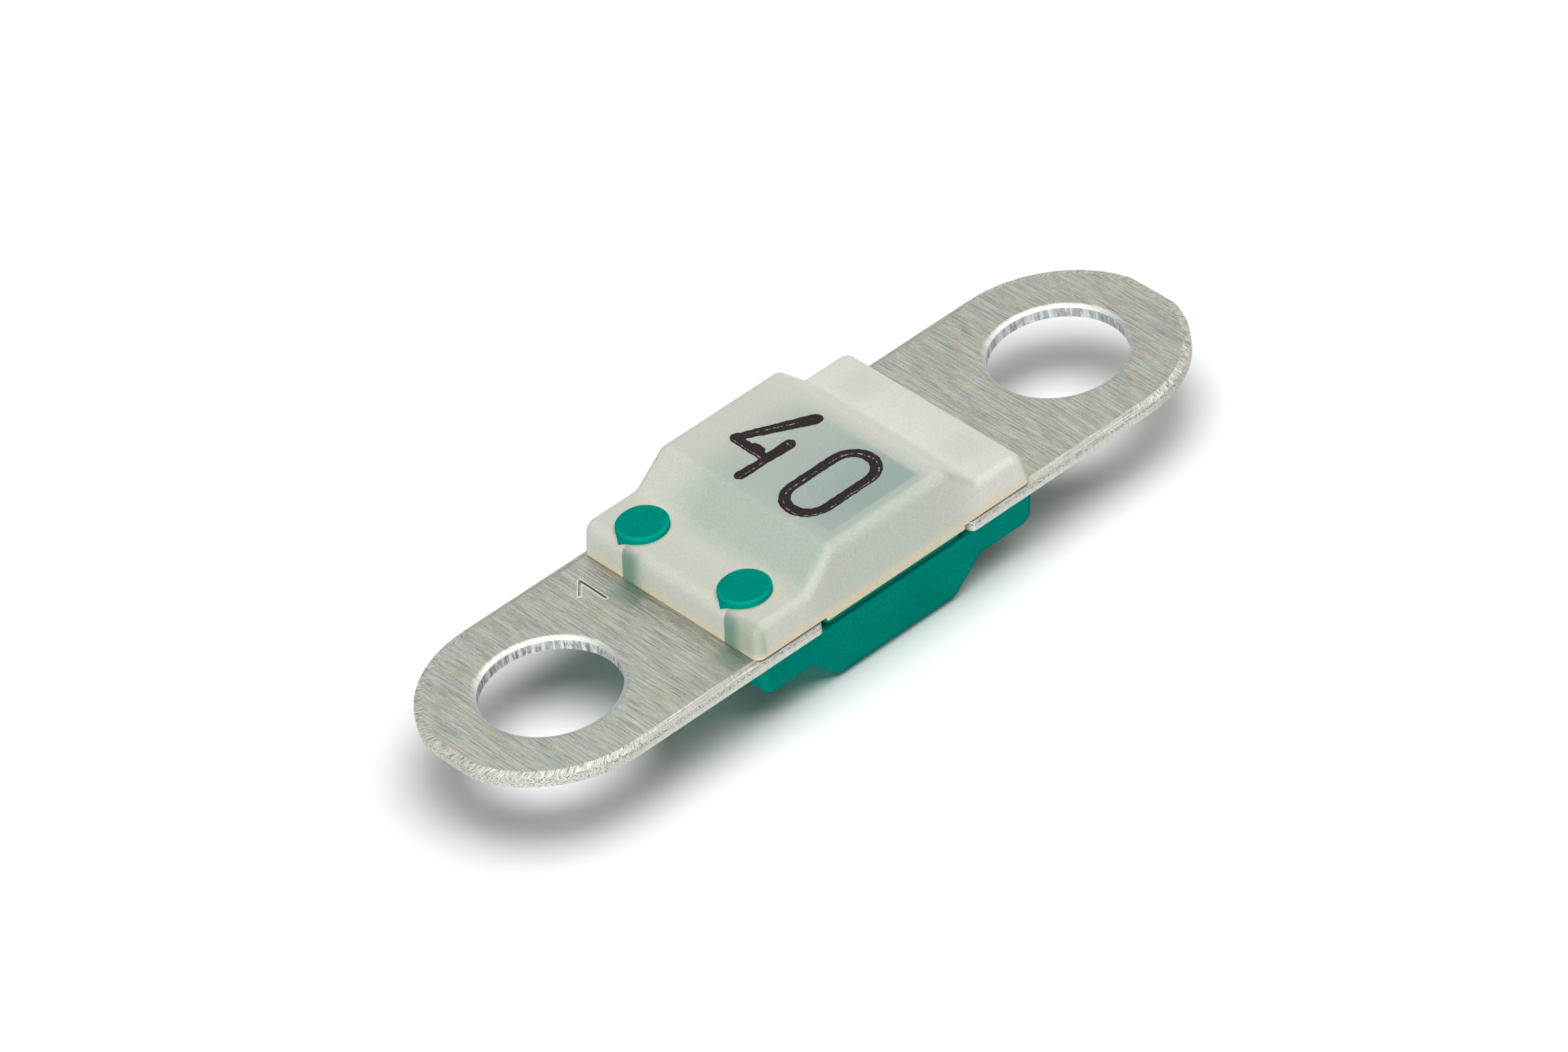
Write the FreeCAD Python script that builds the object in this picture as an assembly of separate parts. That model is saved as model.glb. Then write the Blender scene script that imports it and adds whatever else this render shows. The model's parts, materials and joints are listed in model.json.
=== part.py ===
import FreeCAD, Part
import os
from math import radians, tan
from FreeCAD import Vector

# Bolt down strip fuse: a stamped zinc strip between two moulded housing halves.
# Millimetres. X runs along the strip, Z is up, and the origin is the middle of the
# flat underside that the fuse stands on. The lower base's staking pins are at -X.

# Strip
BOLT_PITCH = 30.0          # between the two bolt holes
BOLT_HOLE_DIA = 6.5        # clears an M6 bolt
STRIP_WIDTH = 12.0
STRIP_THICK = 0.6
TIP_TRIM = 0.18            # how much of each round end is cut off flat at the tip
TIP_BLEND = 2.0            # radius between the tip's flat and the round end
BAND_WIDTH = 0.36          # width of the rolled band round the strip's upper edge
BAND_DROP = 0.1            # how far that band falls from the top face
RIM_WIDTH = 0.22           # rolled-over upper rim of a bolt hole
RIM_DROP = 0.1             # how far that rim falls from the top face

# Fusible middle of the strip
NOTCH_LENGTH = 8.68        # open length between the two tabs, seen at the long sides
NOTCH_CORNER = 0.3         # radius where a tab's side turns into the notch
WINDOW_LENGTH = 4.4        # length of the two windows beside the link
WINDOW_ROUND = 1.0         # radius at the link's roots
SHOULDER_ROUND = 0.4       # radius where the shoulder turns into the window
LINK_WIDTH = 2.2
NECK_WIDTH = 1.1           # the link's narrowest place, which melts
NECK_RADIUS = 0.8

# Staking pins, two on each half
PIN_DIA = 2.3
PIN_CLEARANCE = 0.05       # all round a pin, in the strip and in the other half
HEAD_OVERHANG = 0.08       # how far a staked head stands out beyond its pin
HEAD_THICK = 0.33
HEAD_BEVEL = 0.1
HEAD_END_GAP = 0.47        # between a head and the nearer end of the housing
HEAD_FOOT_GAP = 0.32       # between a head and the foot of the slope
PIN_SIDE_INSET = 2.5       # from a pin's centre to the nearer long side

# Housing halves, both from one mould
FOOT_INSET = 0.05          # the housing's long sides stand this far inside the strip's
SHELF_HEIGHT = 1.65        # low ends, above the parting face
DOME_HEIGHT = 3.2          # raised middle, above the parting face
DOME_LENGTH = 6.65         # flat top of the raised middle
HOLE_SIDE_SLOPE = 1.78     # run of the slope on the side of the half's holes
PIN_SIDE_SLOPE = 1.5       # run of the slope on the side of the half's pins
PIN_SIDE_SHELF = 2.97      # low end over the half's own pins
SIDE_DRAFT = 3.5           # degrees, on the long sides
END_DRAFT = 8.0            # degrees, on the short ends
BROW_ROUND = 0.65          # radius between a low end and the short side below it
CREST_ROUND = 0.6          # where a slope meets the raised middle
FOOT_ROUND = 0.45          # where a slope meets a low end
SIDE_ROUND = 0.4           # upright corners and upper edges of the long sides

# Cavity round the link
CEILING_THICK = 0.95
SIDE_WALL = 1.1            # long sides, at the parting face
CAVITY_SETBACK = 0.75      # the cavity ends this far inside the raised middle's flat top
CAVITY_DRAFT = 3.0         # degrees
CAVITY_ROUND = 0.3

# Joint between the halves along the notches
RIB_SETBACK = 0.2          # the base's rib lies this far inside the outer face
RIB_THICK = 0.85
RIB_END_GAP = 0.4          # between the rib's end and the end of the notch
RIB_END_ROUND = 0.3
SHOULDER_GAP = 0.2         # between the rib and the strip's shoulder
SKIRT_THICK = 0.15         # thin skirt under the cover, outside the rib
SKIRT_DROP = 0.22
SKIRT_END_GAP = 0.3        # between the skirt's end and the end of the notch
SKIRT_END_ROUND = 0.05

# Levels and places worked out from the sizes above
STRIP_BOTTOM = DOME_HEIGHT
STRIP_TOP = STRIP_BOTTOM + STRIP_THICK
TIP_REACH = STRIP_WIDTH / 2 - TIP_TRIM
STRIP_LENGTH = BOLT_PITCH + 2 * TIP_REACH
HEAD_RADIUS = PIN_DIA / 2 + HEAD_OVERHANG
HOLE_SIDE_SHELF = HEAD_END_GAP + 2 * HEAD_RADIUS + HEAD_FOOT_GAP
HOUSING_LENGTH = HOLE_SIDE_SHELF + HOLE_SIDE_SLOPE + DOME_LENGTH + PIN_SIDE_SLOPE + PIN_SIDE_SHELF
HOUSING_WIDTH = STRIP_WIDTH - 2 * FOOT_INSET
DOME_START = HOLE_SIDE_SHELF + HOLE_SIDE_SLOPE - HOUSING_LENGTH / 2
DOME_END = DOME_START + DOME_LENGTH
PIN_X = HOUSING_LENGTH / 2 - HEAD_END_GAP - HEAD_RADIUS
PIN_Y = HOUSING_WIDTH / 2 - PIN_SIDE_INSET
RIB_OUTER = HOUSING_WIDTH / 2 - RIB_SETBACK
RIB_INNER = RIB_OUTER - RIB_THICK
SHOULDER_WIDTH = 2 * (RIB_INNER - SHOULDER_GAP)
OVERCUT = 1.0              # how far a cutting tool stands out of what it cuts
NEAR = 1e-4                # two places closer than this are the same


def block(x0, x1, y0, y1, z0, z1):
    """A box between two corners."""
    return Part.makeBox(x1 - x0, y1 - y0, z1 - z0, Vector(x0, y0, z0))


def centred_block(length, width, z0, z1):
    """A box whose middle stands over the origin."""
    return block(-length / 2, length / 2, -width / 2, width / 2, z0, z1)


def upright(radius, x, y, z0, z1):
    """A round bar standing on z0."""
    return Part.makeCylinder(radius, z1 - z0, Vector(x, y, z0))


def prism(points, along):
    """A closed outline pushed along a vector."""
    return Part.Face(Part.makePolygon(points + points[:1])).extrude(along)


def is_upright(edge):
    """True for a straight vertical edge."""
    ends = [vertex.Point for vertex in edge.Vertexes]
    if len(ends) != 2:
        return False
    run = ends[1] - ends[0]
    return abs(run.x) < NEAR and abs(run.y) < NEAR


def round_uprights(shape, radius, places):
    """Rounds the vertical edges that stand at the given (x, y) places."""
    def wanted(edge):
        point = edge.Vertexes[0].Point
        return any(abs(point.x - x) < NEAR and abs(point.y - y) < NEAR for x, y in places)
    return shape.makeFillet(radius, [e for e in shape.Edges if is_upright(e) and wanted(e)])


def corners(x, y):
    """The four places (+-x, +-y)."""
    return [(sx * x, sy * y) for sx in (-1, 1) for sy in (-1, 1)]


def mirrored_pair(shape):
    """A shape and its copy on the other side of the long centre plane."""
    return [shape, shape.mirror(Vector(0, 0, 0), Vector(0, 1, 0))]


def strip_blank():
    """The strip with its round ends, trimmed flat at both tips."""
    half_pitch = BOLT_PITCH / 2
    half_width = STRIP_WIDTH / 2
    middle = centred_block(BOLT_PITCH, STRIP_WIDTH, STRIP_BOTTOM, STRIP_TOP)
    ends = [upright(half_width, x, 0, STRIP_BOTTOM, STRIP_TOP) for x in (-half_pitch, half_pitch)]
    blank = middle.fuse(ends).removeSplitter()
    blank = blank.common(centred_block(STRIP_LENGTH, STRIP_WIDTH, STRIP_BOTTOM, STRIP_TOP))
    flat_half = (half_width ** 2 - TIP_REACH ** 2) ** 0.5
    return round_uprights(blank, TIP_BLEND, corners(STRIP_LENGTH / 2, flat_half))


def roll_upper_edge(blank):
    """Slopes the upper outline into the narrow band that stamping and tumbling leave."""
    top = max(blank.Faces, key=lambda face: face.CenterOfMass.z)
    return blank.makeChamfer(BAND_WIDTH, BAND_DROP, top.OuterWire.Edges)


def notch_tool(low, high):
    """What is cut from one long side, flared so that the tabs' corners come out round."""
    side, beyond = STRIP_WIDTH / 2, STRIP_WIDTH / 2 + OVERCUT
    reach = NOTCH_LENGTH / 2 + NOTCH_CORNER
    opening = block(-NOTCH_LENGTH / 2, NOTCH_LENGTH / 2, SHOULDER_WIDTH / 2, beyond, low, high)
    flare = block(-reach, reach, side - NOTCH_CORNER, beyond, low, high)
    corner = [upright(NOTCH_CORNER, x, side - NOTCH_CORNER, low, high) for x in (-reach, reach)]
    return flare.cut(corner).fuse(opening)


def cut_notches(strip):
    """Opens the long sides, then the windows that leave the fusible link."""
    low, high = STRIP_BOTTOM - OVERCUT, STRIP_TOP + OVERCUT
    window = block(-WINDOW_LENGTH / 2, WINDOW_LENGTH / 2, LINK_WIDTH / 2, STRIP_WIDTH / 2, low, high)
    neck = upright(NECK_RADIUS, 0, NECK_WIDTH / 2 + NECK_RADIUS, low, high)
    strip = strip.cut(mirrored_pair(notch_tool(low, high)) + mirrored_pair(window))
    strip = round_uprights(strip, NOTCH_CORNER, corners(NOTCH_LENGTH / 2, SHOULDER_WIDTH / 2))
    strip = round_uprights(strip, SHOULDER_ROUND, corners(WINDOW_LENGTH / 2, SHOULDER_WIDTH / 2))
    strip = round_uprights(strip, WINDOW_ROUND, corners(WINDOW_LENGTH / 2, LINK_WIDTH / 2))
    return strip.cut(mirrored_pair(neck))


def bore_strip(strip):
    """The bolt holes with their rolled-over rims, and the holes for the staking pins."""
    low, high = STRIP_BOTTOM - OVERCUT, STRIP_TOP + OVERCUT
    radius = BOLT_HOLE_DIA / 2
    bolts = [upright(radius, x, 0, low, high) for x in (-BOLT_PITCH / 2, BOLT_PITCH / 2)]
    pins = [upright(PIN_DIA / 2 + PIN_CLEARANCE, x, y, low, high) for x, y in corners(PIN_X, PIN_Y)]
    strip = strip.cut(bolts + pins)
    rims = [edge for edge in strip.Edges
            if edge.Curve.TypeId == "Part::GeomCircle" and abs(edge.Curve.Radius - radius) < NEAR
            and abs(edge.Curve.Center.z - STRIP_TOP) < NEAR and abs(edge.Curve.Center.y) < NEAR]
    return strip.makeChamfer(RIM_DROP, RIM_WIDTH, rims)


def fuse_strip():
    """The one-piece zinc strip: two tabs and the fusible link between them."""
    return bore_strip(cut_notches(roll_upper_edge(strip_blank())))


def half_profile():
    """Side view of a housing half: low end, slope, raised middle, slope, low end."""
    lean = tan(radians(END_DRAFT)) * SHELF_HEIGHT
    end = HOUSING_LENGTH / 2
    foot = [DOME_START - HOLE_SIDE_SLOPE, DOME_END + PIN_SIDE_SLOPE]
    return [(-end, 0), (lean - end, SHELF_HEIGHT), (foot[0], SHELF_HEIGHT), (DOME_START, DOME_HEIGHT),
            (DOME_END, DOME_HEIGHT), (foot[1], SHELF_HEIGHT), (end - lean, SHELF_HEIGHT), (end, 0)]


def round_across(shape, radius, places):
    """Rounds the edges that run across the housing at the given (x, z) places."""
    def wanted(edge):
        ends = [vertex.Point for vertex in edge.Vertexes]
        return len(ends) == 2 and all(any(abs(p.x - x) < NEAR and abs(p.z - z) < NEAR for x, z in places)
                                      for p in ends)
    return shape.makeFillet(radius, [edge for edge in shape.Edges if wanted(edge)])


def half_body():
    """The outer form of a housing half, solid, standing on its parting face."""
    points = half_profile()
    half_width = HOUSING_WIDTH / 2
    lean = tan(radians(SIDE_DRAFT)) * DOME_HEIGHT
    side_view = prism([Vector(x, -half_width, z) for x, z in points], Vector(0, HOUSING_WIDTH, 0))
    end_view = prism([Vector(-HOUSING_LENGTH / 2, y, z) for y, z in
                      [(-half_width, 0), (half_width, 0), (half_width - lean, DOME_HEIGHT),
                       (lean - half_width, DOME_HEIGHT)]], Vector(HOUSING_LENGTH, 0, 0))
    body = side_view.common(end_view)
    body = round_across(body, BROW_ROUND, [points[1], points[6]])
    body = round_across(body, CREST_ROUND, points[3:5])
    body = round_across(body, FOOT_ROUND, [points[2], points[5]])
    return body.makeFillet(SIDE_ROUND, side_outline(body))


def is_corner(edge):
    """True for the four drafted corner edges that rise from the parting face."""
    ends = sorted((vertex.Point for vertex in edge.Vertexes), key=lambda point: point.z)
    return len(ends) == 2 and abs(ends[0].z) < NEAR and ends[1].z > NEAR


def is_long_side(face):
    """True for a face that looks along Y more than along X or Z."""
    normal = face.normalAt(0, 0)
    return abs(normal.y) > max(abs(normal.x), abs(normal.z))


def side_outline(body):
    """The edges round both long sides, apart from those on the parting face."""
    sides = [face for face in body.Faces if is_long_side(face)]
    return [edge for face in sides for edge in face.Edges if edge.BoundBox.ZMax > NEAR]


def cavity():
    """The drafted space round the fusible link."""
    height = DOME_HEIGHT - CEILING_THICK
    lean = tan(radians(CAVITY_DRAFT)) * height
    x0, x1 = DOME_START + CAVITY_SETBACK, DOME_END - CAVITY_SETBACK
    half_width = HOUSING_WIDTH / 2 - SIDE_WALL
    side_view = prism([Vector(x, -half_width, z) for x, z in
                       [(x0, 0), (x1, 0), (x1 - lean, height), (x0 + lean, height)]],
                      Vector(0, 2 * half_width, 0))
    end_view = prism([Vector(x0, y, z) for y, z in
                      [(-half_width, 0), (half_width, 0), (half_width - lean, height),
                       (lean - half_width, height)]], Vector(x1 - x0, 0, 0))
    space = side_view.common(end_view)
    space = space.makeFillet(CAVITY_ROUND, [edge for edge in space.Edges if is_corner(edge)])
    ceiling = max(space.Faces, key=lambda face: face.CenterOfMass.z)
    return space.makeFillet(CAVITY_ROUND, ceiling.Edges)


def turned_over(half):
    """A half laid against its twin: turned about Y."""
    half.rotate(Vector(0, 0, 0), Vector(0, 1, 0), 180)
    return half


def staking_pins():
    """The two pins of a half, pushed through the strip and the other half, with staked heads.

    Staking presses each head onto the other half, so the head's underside has its form."""
    seat = -STRIP_THICK - SHELF_HEIGHT
    other_half = turned_over(half_body()).translated(Vector(0, 0, -STRIP_THICK))
    pins = []
    for y in (-PIN_Y, PIN_Y):
        pin = upright(PIN_DIA / 2, PIN_X, y, seat, 0)
        head = upright(HEAD_RADIUS, PIN_X, y, seat - HEAD_THICK, seat + BROW_ROUND)
        rim = [edge for edge in head.Edges if abs(edge.BoundBox.ZMax - seat + HEAD_THICK) < NEAR]
        pins.append(pin.fuse(head.makeChamfer(HEAD_BEVEL, rim).cut(other_half)))
    return pins


def housing_half():
    """A half as it leaves the mould, pins down, standing on its parting face at z = 0."""
    holes = [upright(PIN_DIA / 2 + PIN_CLEARANCE, -PIN_X, y, -OVERCUT, DOME_HEIGHT)
             for y in (-PIN_Y, PIN_Y)]
    shell = half_body().cut([cavity()] + holes)
    return shell.fuse(staking_pins())


def joint_bar(outer, thick, length, end_round, z0, z1):
    """A pair of straight bars along the long sides, with rounded ends."""
    inner = outer - thick
    bar = block(-length / 2, length / 2, inner, outer, z0, z1)
    ends = [(x, y) for x in (-length / 2, length / 2) for y in (inner, outer)]
    return mirrored_pair(round_uprights(bar, end_round, ends))


def upper_cover():
    """The clear half on top, with the thin skirt that hides the joint in the notches."""
    length = NOTCH_LENGTH - 2 * SKIRT_END_GAP
    skirt = joint_bar(HOUSING_WIDTH / 2, SKIRT_THICK, length, SKIRT_END_ROUND, -SKIRT_DROP, 0)
    cover = housing_half().fuse(skirt).removeSplitter()
    return cover.translated(Vector(0, 0, STRIP_TOP))


def lower_base():
    """The green half below, with the ribs that fill the strip's notches."""
    length = NOTCH_LENGTH - 2 * RIB_END_GAP
    ribs = joint_bar(RIB_OUTER, RIB_THICK, length, RIB_END_ROUND, -STRIP_THICK, 0)
    base = turned_over(housing_half().fuse(ribs).removeSplitter())
    return base.translated(Vector(0, 0, STRIP_BOTTOM))


PARTS = {"fuse_strip": fuse_strip, "upper_cover": upper_cover, "lower_base": lower_base}

os.makedirs("parts", exist_ok=True)
for name, make in PARTS.items():
    shape = make()
    solids = shape.Solids
    assert shape.isValid() and len(solids) == 1, name
    solids[0].exportStep(os.path.join("parts", name + ".step"))
    box = solids[0].BoundBox
    print(f"{name}: {solids[0].Volume:.1f} mm3, {box.XLength:.2f} x {box.YLength:.2f} x {box.ZLength:.2f} mm")
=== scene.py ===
# %% [markdown]
# # A bolt down strip fuse, finished for its picture
#
# The construction model holds three solids: a stamped zinc strip, a milky cover and a green base.
# This lesson keeps every one of their sizes and places, and gives each the finish of the real
# fuse. The model is loaded first, because everything else is measured from it.

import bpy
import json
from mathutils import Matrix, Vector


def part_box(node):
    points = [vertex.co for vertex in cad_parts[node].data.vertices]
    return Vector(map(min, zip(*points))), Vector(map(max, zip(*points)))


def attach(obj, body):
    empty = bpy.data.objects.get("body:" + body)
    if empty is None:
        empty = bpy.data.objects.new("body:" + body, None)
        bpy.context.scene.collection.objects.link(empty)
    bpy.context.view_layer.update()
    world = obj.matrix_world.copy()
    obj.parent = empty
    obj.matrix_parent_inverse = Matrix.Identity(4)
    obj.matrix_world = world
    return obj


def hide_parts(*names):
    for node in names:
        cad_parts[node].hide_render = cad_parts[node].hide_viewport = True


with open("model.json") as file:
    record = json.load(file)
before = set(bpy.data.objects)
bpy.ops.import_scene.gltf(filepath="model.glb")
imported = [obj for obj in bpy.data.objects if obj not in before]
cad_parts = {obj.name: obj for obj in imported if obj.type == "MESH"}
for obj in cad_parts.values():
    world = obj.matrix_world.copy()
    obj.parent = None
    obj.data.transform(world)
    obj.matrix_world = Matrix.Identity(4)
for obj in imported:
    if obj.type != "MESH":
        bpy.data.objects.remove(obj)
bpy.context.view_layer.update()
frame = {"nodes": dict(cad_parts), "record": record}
print("pieces from the construction model:", sorted(frame["nodes"]))

# %% [markdown]
# ## Sizes
#
# Blender works in metres and a fuse is measured in millimetres, so one value turns one into the
# other. The pitch of the bolt holes and their radius are read from the record, and the levels of
# the strip and the housing from the boxes of the solids. Only the four staked heads lie inside
# those boxes, so their place and radius are named here as the construction model has them.

# %% Sizes read from the model
import json
from math import atan2, cos, hypot, radians, sin

import bmesh
import bpy
from mathutils import Matrix, Quaternion, Vector, noise

MM = 0.001


def mount_size(mount, size):
    """One size of a mount of the record, in millimetres."""
    found = next(item for item in frame["record"]["mounts"] if item["name"] == mount)
    return found["dims"][size]


HOLE_X = mount_size("tab_bolts", "spacing_x_mm") / 2
HOLE_RADIUS = mount_size("tab_bolts", "hole_r_mm")
STRIP_LOW, STRIP_HIGH = [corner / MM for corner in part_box("fuse_strip")]
COVER_LOW, COVER_HIGH = [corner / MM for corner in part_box("upper_cover")]
BASE_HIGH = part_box("lower_base")[1] / MM
END_RADIUS = STRIP_HIGH.y
PIN_X, PIN_Y, HEAD_RADIUS = 6.375, 3.45, 1.23
print(f"strip top {STRIP_HIGH.z:.2f} mm, dome top {COVER_HIGH.z:.2f} mm, holes at +-{HOLE_X:.1f} mm")

# %% [markdown]
# ## Camera
#
# The picture was taken with a long lens from above the near left corner, and the camera was
# tilted a little. A camera is easiest to read as the point that it looks at, the two angles that
# it looks from, its tilt and its distance, so it is built from those.

# %% Camera
AZIMUTH, ELEVATION, TILT = radians(-34.857), radians(38.415), radians(-10.042)
TARGET = Vector((-0.70, 0.92, STRIP_LOW.z)) * MM
DISTANCE = 432.05 * MM
LENS, SENSOR = 224.9, 36.0
NEAREST, FARTHEST = 0.01, 10


def add_object(name, data):
    """A new object in the scene."""
    made = bpy.data.objects.new(name, data)
    bpy.context.scene.collection.objects.link(made)
    return made


back = Vector((sin(AZIMUTH) * cos(ELEVATION), -cos(AZIMUTH) * cos(ELEVATION), sin(ELEVATION)))
lens = bpy.data.cameras.new("studio_camera")
lens.lens, lens.sensor_width, lens.sensor_fit = LENS, SENSOR, "HORIZONTAL"
lens.clip_start, lens.clip_end = NEAREST, FARTHEST
camera = add_object("studio_camera", lens)
camera.rotation_mode = "QUATERNION"
camera.rotation_quaternion = (-back).to_track_quat("-Z", "Y") @ Quaternion((0, 0, 1), TILT)
camera.location = TARGET + back * DISTANCE
bpy.context.scene.camera = camera
print("camera stands at", [round(x / MM, 1) for x in camera.location], "mm")

# %% [markdown]
# ## Small helpers for materials
#
# A material is a net of nodes, and most of its lines would only add a node and link it. These
# helpers do that in one call each, so that a material below reads as a recipe: take the place on
# the piece in millimetres, make a pattern there, fade it, and mix two colours by it.

# %% Node helpers
def add_node(tree, kind, inputs=None, **settings):
    """Adds a node, applies its settings, and links or sets each input that is given."""
    made = tree.nodes.new(kind)
    for name, value in settings.items():
        setattr(made, name, value)
    for name, value in (inputs or {}).items():
        if isinstance(value, bpy.types.NodeSocket):
            tree.links.new(value, made.inputs[name])
        else:
            made.inputs[name].default_value = value
    return made


def calc(tree, operation, *values):
    """One Math node."""
    return add_node(tree, "ShaderNodeMath", dict(enumerate(values)), operation=operation).outputs[0]


def times(tree, first, *others):
    """The product of some values, such as masks."""
    product = first
    for value in others:
        product = calc(tree, "MULTIPLY", product, value)
    return product


def split(tree, vector):
    """The X, Y and Z of a vector."""
    return add_node(tree, "ShaderNodeSeparateXYZ", {0: vector}).outputs


def flat_length(tree, x, y):
    """The length of a vector that lies flat."""
    flat = add_node(tree, "ShaderNodeCombineXYZ", {0: x, 1: y}).outputs[0]
    return add_node(tree, "ShaderNodeVectorMath", {0: flat}, operation="LENGTH").outputs["Value"]


def fade(tree, value, start, end, low=0.0, high=1.0):
    """Goes smoothly from low at start to high at end."""
    inputs = {"Value": value, "From Min": start, "From Max": end, "To Min": low, "To Max": high}
    node = add_node(tree, "ShaderNodeMapRange", inputs, interpolation_type="SMOOTHSTEP")
    return node.outputs["Result"]


def blend(tree, share, low, high):
    """Mixes two values."""
    return add_node(tree, "ShaderNodeMix", {0: share, 2: low, 3: high}).outputs[0]


def tint(tree, share, low, high, how="MIX"):
    """Mixes two colours."""
    inputs = {0: share, 6: low, 7: high}
    return add_node(tree, "ShaderNodeMix", inputs, data_type="RGBA", blend_type=how).outputs[2]


def shade(tree, colour, light):
    """Makes a colour lighter or darker; a light of 1 leaves it as it is."""
    grey = add_node(tree, "ShaderNodeCombineColor", {0: light, 1: light, 2: light}).outputs[0]
    return tint(tree, 1.0, colour, grey, "MULTIPLY")


def screen(red, green, blue):
    """A colour as a screen shows it, from 0 to 255, made linear for a shader."""
    levels = [level / 255 for level in (red, green, blue)]
    return tuple(((v + 0.055) / 1.055) ** 2.4 if v > 0.04 else v / 12.92 for v in levels) + (1.0,)


def pattern(tree, place, scale, detail=3.0, roughness=0.6):
    """Noise with that many waves per millimetre along X, Y and Z."""
    at = add_node(tree, "ShaderNodeMapping", {"Vector": place, "Scale": scale})
    inputs = {"Vector": at.outputs[0], "Scale": 1.0, "Detail": detail, "Roughness": roughness}
    return add_node(tree, "ShaderNodeTexNoise", inputs).outputs["Fac"]


def new_material(name):
    """A material with its Principled shader, and the place on the piece in millimetres."""
    material = bpy.data.materials.new(name)
    material.use_nodes = True
    tree = material.node_tree
    object_place = add_node(tree, "ShaderNodeTexCoord").outputs["Object"]
    place = add_node(tree, "ShaderNodeMapping", {"Vector": object_place, "Scale": (1 / MM,) * 3})
    return material, tree, tree.nodes["Principled BSDF"], place.outputs[0]


def set_shader(tree, shader, **inputs):
    """Sets or links the shader's sockets; an underscore stands for a space."""
    for name, value in inputs.items():
        socket = shader.inputs[name.replace("_", " ")]
        if isinstance(value, bpy.types.NodeSocket):
            tree.links.new(value, socket)
        else:
            socket.default_value = value


def relief(tree, height, depth, strength=1.0):
    """Turns a height from 0 to 1 into a bump that is that many millimetres deep."""
    inputs = {"Height": height, "Distance": depth * MM, "Strength": strength}
    return add_node(tree, "ShaderNodeBump", inputs).outputs["Normal"]


print("a mid grey of 128 on a screen is", round(screen(128, 128, 128)[0], 3), "in a shader")

# %% [markdown]
# ## Two shared effects
#
# Both housing halves come out of a spark-eroded mould, which leaves the same fine grain on each.
# An effect that more than one material needs is a node group, made once. The second group answers
# a question that the milky cover asks many times: is this point inside that soft-edged block?

# %% Shared effects
SWELL_SHARE = 0.11


def new_group(name, inputs, outputs):
    """An empty shader node group with named sockets."""
    group = bpy.data.node_groups.new(name, "ShaderNodeTree")
    for socket, kind, value in inputs:
        made = group.interface.new_socket(socket, in_out="INPUT", socket_type=kind)
        if value is not None:
            made.default_value = value
    for socket, kind in outputs:
        group.interface.new_socket(socket, in_out="OUTPUT", socket_type=kind)
    return group, group.nodes.new("NodeGroupInput"), group.nodes.new("NodeGroupOutput")


def moulded_grain_group():
    """Fine grain of an eroded mould: a normal, and a speckle round 0.5."""
    inputs = [("Place", "NodeSocketVector", None), ("Grains", "NodeSocketFloat", 12.0),
              ("Depth", "NodeSocketFloat", 0.01 * MM)]
    outputs = [("Normal", "NodeSocketVector"), ("Speckle", "NodeSocketFloat")]
    group, start, end = new_group("moulded_grain", inputs, outputs)
    scaled = {0: start.outputs["Place"], "Scale": start.outputs["Grains"]}
    place = add_node(group, "ShaderNodeVectorMath", scaled, operation="SCALE").outputs[0]
    grain = pattern(group, place, (1, 1, 1), detail=2.0, roughness=0.7)
    swell = pattern(group, place, (SWELL_SHARE,) * 3, detail=2.0)
    height = calc(group, "ADD", grain, swell)
    bump = add_node(group, "ShaderNodeBump", {"Height": height, "Distance": start.outputs["Depth"]})
    group.links.new(bump.outputs["Normal"], end.inputs["Normal"])
    group.links.new(grain, end.inputs["Speckle"])
    return group


def soft_block_group():
    """1 inside a block, and fading to 0 over the softness outside each side."""
    inputs = [("Place", "NodeSocketVector", None), ("Middle", "NodeSocketVector", (0, 0, 0)),
              ("Half", "NodeSocketVector", (1, 1, 1)), ("Softness", "NodeSocketVector", (1, 1, 1))]
    group, start, end = new_group("soft_block", inputs, [("Mask", "NodeSocketFloat")])

    def vector(operation, *values):
        node = add_node(group, "ShaderNodeVectorMath", dict(enumerate(values)), operation=operation)
        return node.outputs[0]

    away = vector("ABSOLUTE", vector("SUBTRACT", start.outputs["Place"], start.outputs["Middle"]))
    outside = vector("DIVIDE", vector("SUBTRACT", away, start.outputs["Half"]), start.outputs["Softness"])
    inside = [fade(group, axis, 1.0, 0.0) for axis in split(group, outside)]
    group.links.new(times(group, *inside), end.inputs["Mask"])
    return group


MOULDED_GRAIN = moulded_grain_group()
SOFT_BLOCK = soft_block_group()


def add_grain(tree, place, grains, depth):
    """The moulded grain's outputs, for one material."""
    node = tree.nodes.new("ShaderNodeGroup")
    node.node_tree = MOULDED_GRAIN
    tree.links.new(place, node.inputs["Place"])
    node.inputs["Grains"].default_value = grains
    node.inputs["Depth"].default_value = depth * MM
    return node.outputs


def soft_block(tree, place, x, y, z, softness):
    """A mask for the block between x, y and z, each a (low, high) pair in millimetres."""
    node = tree.nodes.new("ShaderNodeGroup")
    node.node_tree = SOFT_BLOCK
    tree.links.new(place, node.inputs["Place"])
    node.inputs["Middle"].default_value = [(low + high) / 2 for low, high in (x, y, z)]
    node.inputs["Half"].default_value = [(high - low) / 2 for low, high in (x, y, z)]
    node.inputs["Softness"].default_value = softness
    return node.outputs["Mask"]


print("shared effects:", MOULDED_GRAIN.name, SOFT_BLOCK.name)
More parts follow.
